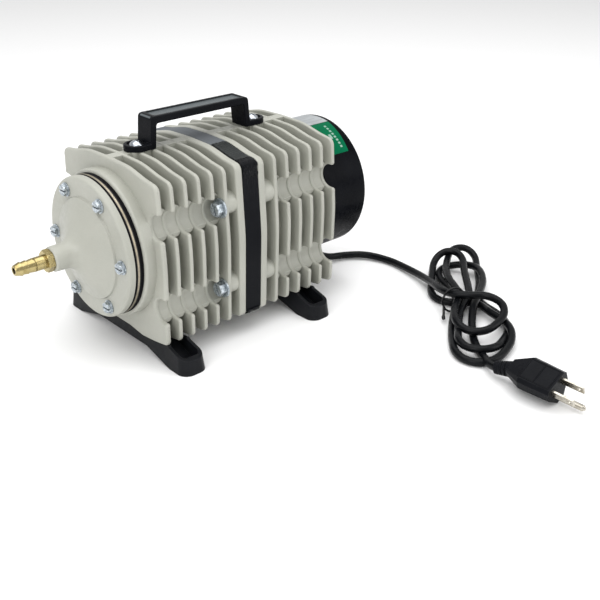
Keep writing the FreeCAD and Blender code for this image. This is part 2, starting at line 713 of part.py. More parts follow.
def foot(station):
    body = foot_block(station, 0.0, 0.0, 24.0)
    long_x = V(60, 0, 0)
    for side in (1, -1):
        rim = [(60.0, 20.0), (63.0, 17.6), (FOOT_REACH + 2, 10.6), (FOOT_REACH + 2, 40.0), (60.0, 40.0)]
        points = [V(at(station) - 30, side * y, z) for y, z in rim]
        body = body.cut(polygon_prism(points, long_x))
    body = body.cut(outline_prism(station - 20, station + 20, 0.0))
    pocket = foot_block(station, 2.4, 2.0, 30.0)
    for side in (1, -1):
        inside = [(45.0, 30.0), (45.0, 12.5), (63.5, 3.6), (77.0, 3.6), (79.0, 30.0)]
        points = [V(at(station) - 30, side * y, z) for y, z in inside]
        body = body.cut(pocket.common(polygon_prism(points, long_x)))
    arch = [(-SOLE_START, -0.1), (SOLE_START, -0.1), (34.0, FOOT_ARCH), (-34.0, FOOT_ARCH)]
    cuts = [polygon_prism([V(at(station) - 30, y, z) for y, z in arch], long_x)]
    for side in (1, -1):
        cuts.append(upright(FOOT_HOLE_R, station, side * FOOT_HOLE_Y, -1, 10))
        cuts.append(upright(2.7, station, side * FOOT_SCREW_Y, -1, 20))
        cuts.append(upright(5.2, station, side * FOOT_SCREW_Y, -1, FOOT_SEAT))
    return body.cut(cuts).removeSplitter()


def foot_screws():
    screws = []
    for station in FOOT_STATIONS:
        for side in (1, -1):
            head = upright(4.7, station, side * FOOT_SCREW_Y, FOOT_SEAT - 2.8, FOOT_SEAT)
            drive = upright(2.0, station, side * FOOT_SCREW_Y, FOOT_SEAT - 3.0, FOOT_SEAT - 1.2)
            shank = upright(2.5, station, side * FOOT_SCREW_Y, FOOT_SEAT, 30.0)
            screws.append(head.fuse(shank).cut(drive).removeSplitter())
    return group(screws)


# ---- motor cap -----------------------------------------------------------------------------
def cap_screw_places():
    angles = [math.radians(90.0 + 120.0 * i) for i in range(3)]
    return [(46.6 * math.cos(a), AXIS_Z + 46.6 * math.sin(a)) for a in angles]


def motor_cap():
    shell = rod(CAP_R, REAR_END, CAP_END)
    shell = shell.makeFillet(3.6, edges_where(shell, lambda e: on_rim(e, (CAP_END,))))
    shell = shell.cut(rod(CAP_R - CAP_WALL, REAR_END - 1, CAP_END - CAP_WALL))
    pillars = [rod(5.0, REAR_END + SPIGOT, CAP_END - 2, y, z) for y, z in cap_screw_places()]
    holder = tube(42.0, FILTER_R, CAP_END - 14, CAP_END - 2)
    shell = shell.fuse(pillars + [holder])
    cuts = []
    for i in range(-3, 4):
        half = math.sqrt(34.0 ** 2 - (i * 9.0) ** 2)
        cuts.append(block(CAP_END - 5, CAP_END + 1, -half, half, AXIS_Z + i * 9.0 - 2.2,
                          AXIS_Z + i * 9.0 + 2.2))
    cuts += [rod(2.2, REAR_END, CAP_END + 1, y, z) for y, z in cap_screw_places()]
    cuts += [rod(4.2, CAP_END - 3.2, CAP_END + 1, y, z) for y, z in cap_screw_places()]
    return shell.cut(cuts).removeSplitter()


def cap_screws():
    screws = []
    for y, z in cap_screw_places():
        head = rod(3.9, CAP_END - 3.2, CAP_END - 0.6, y, z)
        shank = rod(2.0, REAR_END - 5.0, CAP_END - 3.2, y, z)
        slots = [block(CAP_END - 1.8, CAP_END, y - a, y + a, z - b, z + b)
                 for a, b in ((2.2, 0.4), (0.4, 2.2))]
        screws.append(head.fuse(shank).cut(slots).removeSplitter())
    return group(screws)


def label_patch(start, end, first, last, lift):
    """Thin curved patch on the motor cap; angles run from the top towards -Y."""
    ring = tube(CAP_R + lift, CAP_R, start, end)
    reach = 90.0
    edges = [V(at(start), 0, AXIS_Z)]
    steps = 5
    for i in range(steps + 1):
        a = math.radians(first + (last - first) * i / steps)
        edges.append(V(at(start), -reach * math.sin(a), AXIS_Z + reach * math.cos(a)))
    return ring.common(polygon_prism(edges, V(end - start, 0, 0)))


# ---- mains cord ----------------------------------------------------------------------------
def cord_relief():
    """Strain relief moulded solid round the cord's end: a stem in the casing's cord boss and a
    tapered, ribbed sleeve."""
    start, end = RELIEF
    centre = V(at(start), RELIEF_Y, RELIEF_Z)
    stem = rod(RELIEF_STEM_R, start - 10, start, RELIEF_Y, RELIEF_Z)
    collar = rod(7.0, start, start + 2.4, RELIEF_Y, RELIEF_Z)
    sleeve = Part.makeCone(6.2, 4.3, end - start, centre, X_AXIS)
    body = stem.fuse([collar, sleeve])
    ribs = [tube(9, 4.5, start + 6.0 + 4.2 * i, start + 7.6 + 4.2 * i, RELIEF_Y, RELIEF_Z)
            for i in range(4)]
    return body.cut(ribs).removeSplitter()


def round_route(route):
    """Straight runs joined by tangent arcs, each as large as its two runs allow."""
    points = [V(at(s), y, z) for s, y, z in route]
    edges = []
    start = points[0]
    radii = []
    for before, corner, after in zip(points, points[1:], points[2:]):
        into = corner.sub(before)
        out = after.sub(corner)
        turn = into.getAngle(out)
        short = min(into.Length, out.Length)
        cut_back = 0.45 * short
        radii.append(cut_back / math.tan(turn / 2.0))
        into.normalize()
        out.normalize()
        first = corner.sub(V(into).multiply(cut_back))
        second = corner.add(V(out).multiply(cut_back))
        bisector = out.sub(into)
        bisector.normalize()
        rise = radii[-1] / math.cos(turn / 2.0) - radii[-1]
        middle = corner.add(bisector.multiply(rise))
        edges.append(Part.LineSegment(start, first).toShape())
        edges.append(Part.Arc(first, middle, second).toShape())
        start = second
    edges.append(Part.LineSegment(start, points[-1]).toShape())
    return Part.Wire(edges), radii


def cord_tube(name, route):
    wire, radii = round_route(route)
    first = V(at(route[0][0]), route[0][1], route[0][2])
    second = V(at(route[1][0]), route[1][1], route[1][2])
    ring = Part.Wire(Part.Circle(first, second.sub(first), CORD_R).toShape())
    solid = wire.makePipeShell([ring], True, False)
    expected = math.pi * CORD_R ** 2 * wire.Length
    print(name, "length", round(wire.Length, 1), "radii", [round(r, 1) for r in radii])
    print(name, "volume ratio", round(solid.Volume / expected, 4), "valid", solid.isValid())
    return solid


def cord_hank():
    """Outer shape of the tied hank: a flat slab with a waist where the tie goes round."""
    points = [V(at(s), y, 0.0) for s, y in HANK_OUTLINE]
    spline = Part.BSplineCurve()
    spline.interpolate(points, PeriodicFlag=True)
    slab = Part.Face(Part.Wire(spline.toShape())).extrude(V(0, 0, HANK_HEIGHT))
    top = edges_where(slab, lambda e: near(e.BoundBox.ZMin, HANK_HEIGHT, 0.5))
    return slab.makeFillet(4.0, top)


def cord_tie():
    """Twist tie round the hank's waist, a narrow loop that stands across the strands."""
    loop = rounded_plan(0.0, 0.0, 15.0, 12.0, 8.0)
    inner = rounded_plan(0.0, 0.0, 14.0, 11.0, 7.0)
    ring = Part.Face(loop).extrude(V(0, 0, 4)).cut(Part.Face(inner).extrude(V(0, 0, 4)))
    ring.translate(V(-at(0.0), 0, -2))
    ring.rotate(V(0, 0, 0), V(1, 0, 0), 90)
    ring.rotate(V(0, 0, 0), V(0, 0, 1), -38)
    ring.translate(V(at(221.0), -153.0, 12.1))
    return ring


def plug_point(across, up, y):
    """A point of the plug, given across its blades and up from them."""
    roll = math.radians(PLUG_ROLL)
    dx = across * math.cos(roll) - up * math.sin(roll)
    dz = across * math.sin(roll) + up * math.cos(roll)
    return V(at(PLUG_X) + dx, y, PLUG_Z + dz)


def plug_section(y, scale, shift):
    outline = [(-10.0, 7.0), (10.0, 7.0), (12.6, 4.2), (12.6, -3.6), (4.2, -14.9), (-4.2, -14.9),
               (-12.6, -3.6), (-12.6, 4.2)]
    points = [plug_point(a * scale, (b + 4.0) * scale - 4.0 + shift, y) for a, b in outline]
    return Part.makePolygon(points + [points[0]])


def plug_body():
    neck = plug_section(PLUG_NECK_Y, 0.52, 0.0)
    shoulder = plug_section(PLUG_SHOULDER_Y, 1.0, 0.0)
    face = plug_section(PLUG_FACE_Y, 0.94, 0.0)
    body = Part.makeLoft([neck, shoulder], True, True)
    body = body.fuse(Part.makeLoft([shoulder, face], True, True))
    start = V(at(173.2), -236.0, 8.6)
    end = plug_point(0.0, -4.0, PLUG_NECK_Y - 1.0)
    along = end.sub(start)
    length = along.Length
    sleeve = Part.makeCone(5.0, 6.2, length, start, along)
    body = body.fuse(sleeve).removeSplitter()
    along.normalize()
    for i in range(3):
        place = start.add(V(along).multiply(2.2 + 3.4 * i))
        ring = Part.makeCylinder(9, 1.3, place, along).cut(Part.makeCylinder(4.6, 1.3, place, along))
        body = body.cut(ring)
    sockets = [blade(side, 6.0) for side in (1, -1)] + [pin_shape(6.0)]
    return body.cut(sockets)


def blade(side, root):
    """One flat blade, sunk in the plug's face by root."""
    centre = side * BLADE_SPACING / 2.0
    y = PLUG_FACE_Y + root
    corners = [(centre - 0.75, 3.2), (centre + 0.75, 3.2), (centre + 0.75, -3.2), (centre - 0.75, -3.2)]
    points = [plug_point(a, b, y) for a, b in corners]
    return polygon_prism(points, V(0, -(BLADE_LENGTH + root), 0))


def pin_shape(root):
    base = plug_point(0.0, -PIN_OFFSET, PLUG_FACE_Y + root)
    shaft = Part.makeCylinder(2.4, PIN_LENGTH + root - 2.0, base, V(0, -1, 0))
    nose_base = plug_point(0.0, -PIN_OFFSET, PLUG_FACE_Y - PIN_LENGTH + 2.0)
    nose = Part.makeCone(2.4, 1.0, 2.0, nose_base, V(0, -1, 0))
    return shaft.fuse(nose).removeSplitter()


def plug_blades():
    blades = []
    for side in (1, -1):
        hole_at = plug_point(side * BLADE_SPACING / 2.0, 0.0, PLUG_FACE_Y - BLADE_LENGTH + 3.6)
        across = plug_point(1.0, 0.0, 0.0).sub(plug_point(0.0, 0.0, 0.0))
        hole = Part.makeCylinder(1.55, 6, hole_at.sub(V(across).multiply(3)), across)
        blades.append(blade(side, 6.0).cut(hole))
    return group(blades)


# ---- write every node ----------------------------------------------------------------------
def main():
    save("outlet_barb", outlet_barb())
    save("cylinder_head_cover", cylinder_head_cover())
    save("cover_screws", cover_screws())
    save("cover_gasket", ring_plate(STACK_R - 0.4, 34.0, COVER_GASKET))
    save("valve_plate", valve_plate())
    save("outlet_reed", reed(VALVE_PLATE[0] - 0.35, -1))
    save("outlet_reed_stop", outlet_reed_stop())
    save("head_gasket", ring_plate(STACK_R + 0.2, 30.0, HEAD_GASKET))
    save("front_casing", front_casing())
    save("cylinder_liner", tube(LINER_R, BORE_R, BOSS_STATION, 44))
    save("piston_head", piston_head())
    save("piston_ring", piston_ring())
    save("piston_nut", piston_nut())
    save("inlet_reed", reed(-1.35, 1))
    save("inlet_reed_clamp", inlet_reed_clamp())
    save("drive_rod", rod(ROD_R, PISTON[0] + 0.2, 146))
    save("armature", armature())
    save("spring_seat", spring_seat())
    save("return_spring", return_spring())
    save("guide_bush", tube(8.0, ROD_R + 0.05, 118, 136))
    save("field_core", field_core())
    save("coil_bobbins", coil_bobbins())
    save("field_coils", field_coils())
    save("terminal_block", terminal_block())
    save("coil_leads", coil_leads())
    save("seal_band", seal_band())
    save("rear_casing", rear_casing())
    save("casing_bolts", casing_bolts())
    save("casing_washers", casing_washers())
    save("carry_handle", carry_handle())
    save("handle_screws", handle_screws())
    save("front_foot", foot(FOOT_STATIONS[0]))
    save("rear_foot", foot(FOOT_STATIONS[1]))
    save("foot_screws", foot_screws())
    save("motor_cap", motor_cap())
    save("cap_screws", cap_screws())
    save("intake_filter", rod(FILTER_R, CAP_END - 13, CAP_END - 5))
    save("rating_label", label_patch(174.5, 213.8, -46.0, 13.6, 0.2))
    save("side_label", label_patch(174.5, 213.8, 14.2, 49.6, 0.25))
    save("cord_relief", cord_relief())
    save("power_cord", cord_tube("power_cord", LEAD_ROUTE))
    save("cord_hank", cord_hank())
    save("cord_tie", cord_tie())
    save("cord_tail", cord_tube("cord_tail", TAIL_ROUTE))
    save("plug_body", plug_body())
    save("plug_blades", plug_blades())
    save("ground_pin", pin_shape(6.0))


main()
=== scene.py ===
import bpy
import bmesh
import math
from mathutils import Vector, Matrix


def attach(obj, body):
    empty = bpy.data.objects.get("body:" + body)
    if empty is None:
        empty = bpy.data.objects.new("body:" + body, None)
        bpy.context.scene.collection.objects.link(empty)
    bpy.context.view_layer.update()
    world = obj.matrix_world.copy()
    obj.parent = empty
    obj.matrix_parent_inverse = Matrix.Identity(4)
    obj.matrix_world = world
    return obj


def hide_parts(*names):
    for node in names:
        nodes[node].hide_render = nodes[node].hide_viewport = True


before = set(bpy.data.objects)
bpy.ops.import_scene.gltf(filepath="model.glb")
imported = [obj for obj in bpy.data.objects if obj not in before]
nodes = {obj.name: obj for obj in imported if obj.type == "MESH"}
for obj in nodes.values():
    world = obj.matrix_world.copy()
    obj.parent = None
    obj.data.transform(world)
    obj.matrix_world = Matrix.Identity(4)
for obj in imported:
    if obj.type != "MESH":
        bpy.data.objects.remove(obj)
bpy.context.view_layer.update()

FRONT_X = -0.06885          # x of the front casing's first face
AXIS_Z = 0.085


def at(station, y, z):
    """A point given in millimetres along the pump from its front face, across and up."""
    return Vector((FRONT_X + station / 1000.0, y / 1000.0, z / 1000.0))


# ---- camera ---------------------------------------------------------------------------------
cam_data = bpy.data.cameras.new("camera")
cam_data.lens = 52.88
cam_data.sensor_width = 36.0
cam = bpy.data.objects.new("camera", cam_data)
bpy.context.scene.collection.objects.link(cam)
eye = at(-316.7, -545.0, 349.7)
aim = at(130.8, -67.8, 15.4)
cam.location = eye
facing = (aim - eye).to_track_quat("-Z", "Y")
cam.rotation_mode = "QUATERNION"
cam.rotation_quaternion = facing @ Matrix.Rotation(math.radians(0.51), 3, "Z").to_quaternion()
cam_data.clip_start = 0.01
cam_data.clip_end = 20.0
bpy.context.scene.camera = cam


# ---- light and floor ------------------------------------------------------------------------
def soft_light(name, place, target, size, power):
    """Large area light at place that faces target."""
    data = bpy.data.lights.new(name, "AREA")
    data.shape = "RECTANGLE"
    data.size, data.size_y = size
    data.energy = power
    lamp = bpy.data.objects.new(name, data)
    bpy.context.scene.collection.objects.link(lamp)
    lamp.location = place
    lamp.rotation_mode = "QUATERNION"
    lamp.rotation_quaternion = (Vector(target) - Vector(place)).to_track_quat("-Z", "Y")
    return lamp


soft_light("top_light", (0.0, -0.05, 1.5), (0, 0, 0), (1.7, 1.7), 19)
soft_light("left_light", (-1.3, -0.6, 0.9), (0, 0, 0.05), (0.9, 1.2), 9)
soft_light("right_light", (0.9, -1.2, 0.8), (0.05, 0, 0.05), (0.8, 1.0), 5)

world = bpy.data.worlds.new("studio")
bpy.context.scene.world = world
world.use_nodes = True
world.node_tree.nodes["Background"].inputs["Color"].default_value = (1, 1, 1, 1)
world.node_tree.nodes["Background"].inputs["Strength"].default_value = 0.68
bpy.context.scene.view_settings.view_transform = "Standard"


def new_object(name, mesh, body="housing"):
    """A new piece with this mesh or curve, which rides on the body."""
    obj = bpy.data.objects.new(name, mesh)
    bpy.context.scene.collection.objects.link(obj)
    if body:
        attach(obj, body)
    return obj


floor_mesh = bpy.data.meshes.new("floor")
floor_mesh.from_pydata([(-3, -3, 0), (3, -3, 0), (3, 3, 0), (-3, 3, 0)], [], [(0, 1, 2, 3)])
floor = new_object("floor", floor_mesh, None)


# ---- materials ------------------------------------------------------------------------------
class Look:
    """A Principled material with small helpers for its nodes. Lengths are in metres."""

    def __init__(self, name, colour, rough, metal=0.0, spec=0.5):
        self.material = bpy.data.materials.new(name)
        self.material.use_nodes = True
        self.tree = self.material.node_tree
        self.shader = self.tree.nodes["Principled BSDF"]
        self.shader.inputs["Base Color"].default_value = (*colour, 1)
        self.shader.inputs["Roughness"].default_value = rough
        self.shader.inputs["Metallic"].default_value = metal
        self.shader.inputs["Specular IOR Level"].default_value = spec
        self.coords = self.tree.nodes.new("ShaderNodeTexCoord").outputs["Object"]
        self.split = self.tree.nodes.new("ShaderNodeSeparateXYZ")
        self.tree.links.new(self.coords, self.split.inputs[0])
        self.normal = None

    # The next four add nodes and give the last one's output.
    def noise(self, scale, detail=3.0, rough=0.5, stretch=(1, 1, 1)):
        coords = self.coords
        if stretch != (1, 1, 1):
            mapping = self.tree.nodes.new("ShaderNodeMapping")
            mapping.inputs["Scale"].default_value = stretch
            self.tree.links.new(coords, mapping.inputs["Vector"])
            coords = mapping.outputs["Vector"]
        node = self.tree.nodes.new("ShaderNodeTexNoise")
        node.inputs["Scale"].default_value = scale
        node.inputs["Detail"].default_value = detail
        node.inputs["Roughness"].default_value = rough
        self.tree.links.new(coords, node.inputs["Vector"])
        return node.outputs["Fac"]

    def spread(self, value, low, high, out_low=0.0, out_high=1.0):
        node = self.tree.nodes.new("ShaderNodeMapRange")
        node.inputs["From Min"].default_value = low
        node.inputs["From Max"].default_value = high
        node.inputs["To Min"].default_value = out_low
        node.inputs["To Max"].default_value = out_high
        self.tree.links.new(value, node.inputs["Value"])
        return node.outputs["Result"]

    def mix(self, factor, first, second):
        node = self.tree.nodes.new("ShaderNodeMix")
        node.data_type = "RGBA"
        self.tree.links.new(factor, node.inputs["Factor"])
        for socket, value in ((node.inputs[6], first), (node.inputs[7], second)):
            if isinstance(value, tuple):
                socket.default_value = (*value, 1)
            else:
                self.tree.links.new(value, socket)
        return node.outputs[2]

    def math(self, operation, first, second=0.0):
        node = self.tree.nodes.new("ShaderNodeMath")
        node.operation = operation
        for socket, value in zip(node.inputs, (first, second)):
            if isinstance(value, (int, float)):
                socket.default_value = value
            else:
                self.tree.links.new(value, socket)
        return node.outputs[0]

    def set(self, name, value):
        self.tree.links.new(value, self.shader.inputs[name])

    def base_colour(self):
        """What the shader's base colour is linked to so far."""
        return self.shader.inputs["Base Color"].links[0].from_socket

    def axis(self, index):
        """One coordinate of the object, in metres."""
        return self.split.outputs[index]

    def band(self, value, low, high, soft=0.0002):
        """One between low and high, nought outside, with soft ends."""
        rise = self.spread(value, low - soft, low + soft)
        fall = self.spread(value, high - soft, high + soft, 1.0, 0.0)
        return self.math("MULTIPLY", rise, fall)

    def corners(self, radius):
        """Rounds the shading of sharp edges, and gives a mask of where they are."""
        bevel = self.tree.nodes.new("ShaderNodeBevel")
        bevel.samples = 4
        bevel.inputs["Radius"].default_value = radius
        flat = self.tree.nodes.new("ShaderNodeNewGeometry")
        turn = self.tree.nodes.new("ShaderNodeVectorMath")
        turn.operation = "DOT_PRODUCT"
        self.tree.links.new(bevel.outputs["Normal"], turn.inputs[0])
        self.tree.links.new(flat.outputs["Normal"], turn.inputs[1])
        self.normal = bevel.outputs["Normal"]
        self.tree.links.new(self.normal, self.shader.inputs["Normal"])
        return self.spread(turn.outputs["Value"], 0.995, 0.9)

    def hollows(self, distance):
        """One in the open and nought deep in a gap."""
        node = self.tree.nodes.new("ShaderNodeAmbientOcclusion")
        node.samples = 6
        node.inputs["Distance"].default_value = distance
        return node.outputs["AO"]

    def bump(self, height, distance, strength=1.0):
        node = self.tree.nodes.new("ShaderNodeBump")
        node.inputs["Distance"].default_value = distance
        node.inputs["Strength"].default_value = strength
        self.tree.links.new(height, node.inputs["Height"])
        if self.normal is not None:
            self.tree.links.new(self.normal, node.inputs["Normal"])
        self.normal = node.outputs["Normal"]
        self.tree.links.new(self.normal, self.shader.inputs["Normal"])


def paint(look, *objects):
    """Gives the objects this finish in place of the plain one."""
    for obj in objects:
        obj.data.materials.clear()
        obj.data.materials.append(look.material)


floor_look = Look("floor_paper", (0.93, 0.93, 0.93), 0.9, spec=0.1)
floor_look.bump(floor_look.noise(900.0), 0.00005, 0.2)
paint(floor_look, floor)


# ---- mains cord: one line from the relief through the tied hank to the plug ------------------
CORD_ROUTE = [
    (196.0, -5.0, 17.0), (208.2, -5.0, 14.6), (224.2, -6.4, 5.5), (242.6, -10.6, 4.1),
    (258.7, -24.3, 4.6), (266.3, -47.1, 3.5), (264.6, -63.7, 4.2), (258.5, -91.5, 6.0),
    (247.0, -114.0, 10.5), (239.4, -124.8, 13.2), (232.9, -136.6, 15.5), (230.4, -149.5, 18.2),
    (236.9, -161.7, 19.1), (247.8, -172.0, 19.6), (248.2, -187.2, 18.0), (237.6, -197.6, 15.5),
    (223.0, -201.1, 13.2), (209.2, -200.0, 10.8), (200.2, -190.2, 9.8), (200.2, -178.1, 12.3),
    (208.7, -168.0, 12.9), (220.5, -160.2, 12.8), (232.6, -153.3, 12.7), (244.0, -146.1, 13.0),
    (251.7, -134.9, 13.2), (258.8, -123.4, 13.1), (267.5, -113.6, 13.0), (277.1, -105.2, 12.7),
    (287.2, -98.0, 12.6), (297.3, -91.5, 12.5), (306.8, -86.2, 13.7), (315.5, -86.5, 15.1),
    (322.2, -91.9, 15.0), (323.7, -99.2, 12.1), (320.5, -106.6, 8.8), (312.3, -113.5, 6.9),
    (304.3, -121.4, 4.8), (294.8, -129.5, 4.6), (284.7, -137.6, 4.7), (273.6, -144.9, 4.4),
    (262.5, -152.5, 4.0), (256.0, -164.4, 3.7), (254.0, -178.0, 3.4), (248.8, -190.3, 3.4),
    (239.9, -200.4, 3.5), (228.2, -207.8, 3.9), (214.7, -213.0, 5.9), (200.4, -218.2, 8.0),
    (187.6, -213.9, 8.2), (181.7, -202.3, 7.6), (185.3, -190.8, 8.6), (196.0, -182.9, 7.5),
    (206.2, -175.1, 6.4), (216.7, -167.9, 6.7), (227.6, -160.3, 7.5), (240.3, -155.3, 9.4),
    (252.8, -150.4, 11.5), (262.3, -141.4, 12.2), (271.3, -132.5, 12.8), (280.3, -123.8, 13.5),
    (289.2, -115.5, 14.5), (297.9, -108.0, 16.3), (300.6, -99.1, 18.8), (297.0, -90.2, 19.0),
    (289.3, -86.0, 14.9), (280.3, -88.0, 10.0), (270.8, -95.0, 7.4), (261.2, -102.1, 5.6),
    (251.6, -109.8, 4.1), (241.3, -117.8, 3.8), (235.9, -128.4, 3.4), (238.6, -140.0, 3.4),
    (248.5, -147.0, 3.4), (252.4, -158.3, 5.7), (248.3, -169.3, 7.1), (241.0, -180.9, 9.2),
    (237.8, -195.4, 9.3), (230.3, -209.4, 9.5), (218.3, -218.8, 7.2), (204.4, -223.5, 5.6),
    (190.1, -225.9, 4.8), (177.4, -221.0, 3.4), (171.3, -208.0, 3.4), (176.2, -194.7, 3.9),
    (187.2, -184.6, 3.5), (198.2, -175.1, 3.4), (209.7, -166.6, 3.4), (221.2, -158.9, 3.5),
    (232.6, -151.4, 4.7), (243.6, -143.4, 7.4), (253.9, -133.2, 6.4), (261.5, -121.8, 4.6),
    (267.0, -108.6, 4.2), (275.8, -97.3, 4.7), (288.8, -94.1, 5.9), (301.2, -101.6, 7.4),
    (304.9, -115.5, 9.6), (298.7, -127.2, 11.1), (289.3, -137.0, 11.5), (278.5, -145.6, 11.3),
    (266.2, -152.3, 11.4), (253.8, -158.9, 12.0), (240.8, -164.0, 10.3), (229.6, -171.4, 6.8),
    (218.9, -179.5, 4.9), (208.8, -188.0, 4.0), (199.4, -197.2, 3.4), (190.9, -207.6, 3.4),
    (183.4, -218.7, 4.8), (175.6, -228.0, 6.6), (173.2, -236.0, 8.6),
]


def spline_curve(name, points, radius):
    """Round tube along one open NURBS line with these control points, in metres."""
    data = bpy.data.curves.new(name, "CURVE")
    data.dimensions = "3D"
    spline = data.splines.new("NURBS")
    spline.points.add(len(points) - 1)
    for place, point in zip(spline.points, points):
        place.co = (*point, 1.0)
        place.radius = radius
    spline.order_u = 3
    spline.use_endpoint_u = True
    spline.resolution_u = 6
    data.bevel_depth = 1.0      # the tube's radius is this times each point's own
    data.bevel_resolution = 5
    data.use_fill_caps = True
    return new_object(name, data)


CORD_D = 0.0065
cord = spline_curve("mains_cord", [at(*p) for p in CORD_ROUTE], CORD_D / 2.0)
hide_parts("power_cord", "cord_hank", "cord_tail")


def cord_sheath():
    """Black sheath with a dull sheen, fine grain and slight lumps."""
    look = Look("cord_pvc", (0.0035, 0.004, 0.005), 0.26, spec=0.13)
    look.set("Roughness", look.spread(look.noise(120.0, 4), 0.3, 0.7, 0.22, 0.36))
    look.bump(look.noise(900.0, 2), 0.00004, 0.35)
    look.bump(look.noise(60.0, 2), 0.0004, 0.12)
    return look


paint(cord_sheath(), cord)


# ---- finishes of the CAD pieces ---------------------------------------------------------------
def cast_paint():
    """Satin grey-beige paint on a die casting: fine pebble, painted shade in its hollows, painted
    highlights on its edges.
    """
    look = Look("cast_paint", (0.37, 0.37, 0.325), 0.45, spec=0.5)
    edge = look.corners(0.0005)
    tone = look.mix(look.spread(look.noise(28.0, 3), 0.35, 0.65), (0.352, 0.355, 0.312),
                    (0.392, 0.394, 0.347))
    speck = look.spread(look.noise(2600.0, 2), 0.42, 0.6)
    tone = look.mix(look.math("MULTIPLY", speck, 0.3), tone, (0.47, 0.472, 0.42))
    # painted shade: the colour turns dark olive deep in the gaps between fins and parts
    deep = look.spread(look.hollows(0.016), 0.15, 0.8, 1.0, 0.0)
    tone = look.mix(look.math("MULTIPLY", deep, 0.25), tone, (0.155, 0.165, 0.12))
    # painted highlight: the rounded edges are painted lighter
    tone = look.mix(look.math("MULTIPLY", edge, 0.4), tone, (0.55, 0.555, 0.50))
    look.set("Base Color", tone)
    look.set("Roughness", look.spread(look.noise(300.0, 3), 0.3, 0.7, 0.33, 0.51))
    look.bump(look.noise(1500.0, 3), 0.00007, 0.5)
    look.bump(look.noise(160.0, 2), 0.0003, 0.14)
    return look


def moulded(name, colour, rough, radius=0.0004, grain=1800.0, depth=0.00005, gloss=0.06):
    """Moulded black plastic with a fine grain, dusty patches and painted highlights on its edges."""
    look = Look(name, colour, rough, spec=gloss)
    edge = look.corners(radius)
    # painted highlight: the edges are painted lighter than the plastic
    edge_highlight = tuple(c * 2.2 + 0.018 for c in colour)
    dusty = tuple(c * 1.4 + 0.001 for c in colour)
    tone = look.mix(look.spread(look.noise(45.0, 4), 0.4, 0.7), colour, dusty)
    look.set("Base Color", look.mix(look.math("MULTIPLY", edge, 0.55), tone, edge_highlight))
    look.set("Roughness", look.spread(look.noise(220.0, 3), 0.3, 0.7, rough - 0.07, rough + 0.1))
    look.bump(look.noise(grain, 2), depth, 0.4)
    return look


def plated(name, colour, dark, rough, radius=0.0003, scale=260.0):
    """Plated or bare metal with blotches, fine scratches, painted shade in its recesses and painted
    highlights on its edges.
    """
    look = Look(name, colour, rough, metal=1.0)
    edge = look.corners(radius)
    tone = look.mix(look.spread(look.noise(scale, 4), 0.35, 0.68), colour, dark)
    # painted shade: the colour darkens in the recesses
    deep = look.spread(look.hollows(0.0016), 0.2, 0.8, 1.0, 0.0)
    tone = look.mix(look.math("MULTIPLY", deep, 0.6), tone, tuple(c * 0.3 for c in dark))
    # painted highlight: the edges are painted brighter
    bright = tuple(min(1.0, c * 1.25 + 0.05) for c in colour)
    look.set("Base Color", look.mix(look.math("MULTIPLY", edge, 0.6), tone, bright))
    look.set("Roughness", look.spread(look.noise(700.0, 3), 0.3, 0.7, rough - 0.09, rough + 0.14))
    look.bump(look.noise(1200.0, 3, stretch=(1, 1, 6)), 0.00003, 0.35)
    return look


def turned(name, colour, dark, rough):
    """Machined round part: fine rings along the pump's axis."""
    return ridged(plated(name, colour, dark, rough), 0, 14000.0, -1.0, 1.0, 0.00002, 0.4)


def ridged(look, axis, frequency, low, high, depth, strength):
    """Adds fine parallel ridges across one axis: machining rings, stacked sheets or wound wire."""
    wave = look.math("SINE", look.math("MULTIPLY", look.axis(axis), frequency))
    look.bump(look.spread(wave, low, high), depth, strength)
    return look


def zinc_plate():
    # The dark blotches stand both for the plating's mottling and for painted dark reflections.
    look = plated("zinc_plate", (0.60, 0.65, 0.69), (0.20, 0.24, 0.27), 0.34, scale=620.0)
    look.shader.inputs["Metallic"].default_value = 0.82
    return look


def golden_plate():
    """Only the middle of the plate's edge shines; its corners are as dark as the gaskets."""
    look = turned("golden_plate", (0.50, 0.44, 0.33), (0.36, 0.32, 0.25), 0.42)
    shining = look.band(look.axis(0), at(-13.9, 0, 0).x, at(-12.5, 0, 0).x, 0.00015)
    look.set("Base Color", look.mix(shining, (0.006, 0.006, 0.006), look.base_colour()))
    look.set("Metallic", shining)
    return look


def laminated_steel():
    look = plated("laminated_steel", (0.20, 0.21, 0.23), (0.10, 0.10, 0.11), 0.45)
    return ridged(look, 0, 12600.0, -0.6, 0.9, 0.00005, 0.7)


def enamelled_wire():
    look = plated("enamelled_wire", (0.42, 0.17, 0.07), (0.25, 0.09, 0.04), 0.3)
    return ridged(look, 2, 9000.0, -1.0, 1.0, 0.00025, 0.8)


def pressed_felt():
    look = Look("pressed_felt", (0.6, 0.6, 0.56), 0.95, spec=0.1)
    look.bump(look.noise(900.0, 5, 0.7, (1, 2, 5)), 0.0005, 0.7)
    look.set("Base Color", look.mix(look.noise(300.0, 4), (0.42, 0.42, 0.38), (0.68, 0.68, 0.63)))
    return look


def handle_plastic():
    """Black, with the sunken panel on top of the handle painted greyer than the rest as a painted
    highlight where the light falls.
    """
    panel_heights, panel_half = (0.1736, 0.1747), 0.0064
    look = moulded("handle_plastic", (0.0035, 0.004, 0.0055), 0.3)
    panel = look.math("MULTIPLY", look.band(look.axis(2), *panel_heights),
                      look.band(look.axis(1), -panel_half, panel_half))
    # painted highlight: the top panel is painted grey
    look.set("Base Color", look.mix(panel, look.base_colour(), (0.105, 0.118, 0.124)))
    return look


